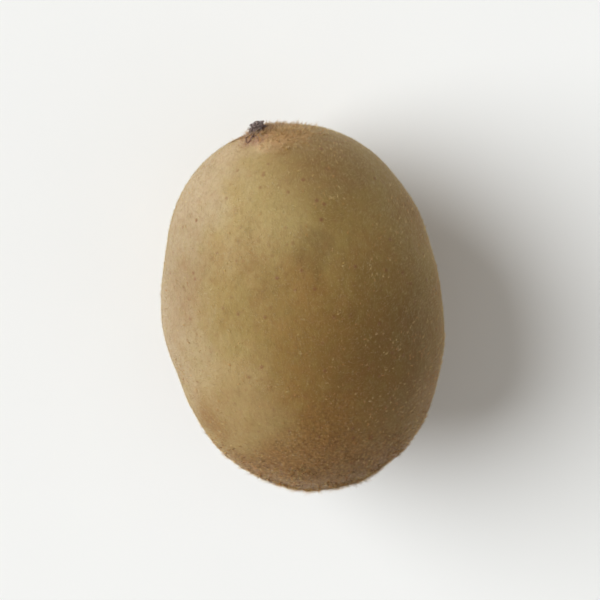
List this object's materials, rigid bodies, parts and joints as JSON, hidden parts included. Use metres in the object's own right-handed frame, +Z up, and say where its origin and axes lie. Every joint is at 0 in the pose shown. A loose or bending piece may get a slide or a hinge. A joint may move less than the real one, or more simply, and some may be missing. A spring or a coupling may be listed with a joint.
{
  "type": "golden kiwi fruit",
  "caption": "Whole ripe golden kiwi fruit with smooth downy bronze skin, dried styles at one end and a stalk scar at the other, lying on its side.",
  "frame": {"origin": "on the surface the fruit lies on, in the middle of its footprint box", "axes": "+Z up; +X along the fruit's long axis towards the stem end, so the blossom end with the dried styles points to -X; +Y across the fruit"},
  "size_m": [0.074, 0.0546, 0.0506],
  "materials": {
    "skin": "satin khaki-bronze skin with fine down and small red-brown dots",
    "dried_styles": "matte, dried dark brown plant threads"
  },
  "bodies": {
    "root": {"fruit": "skin", "dried_styles": "dried_styles"}
  },
  "joints": []
}
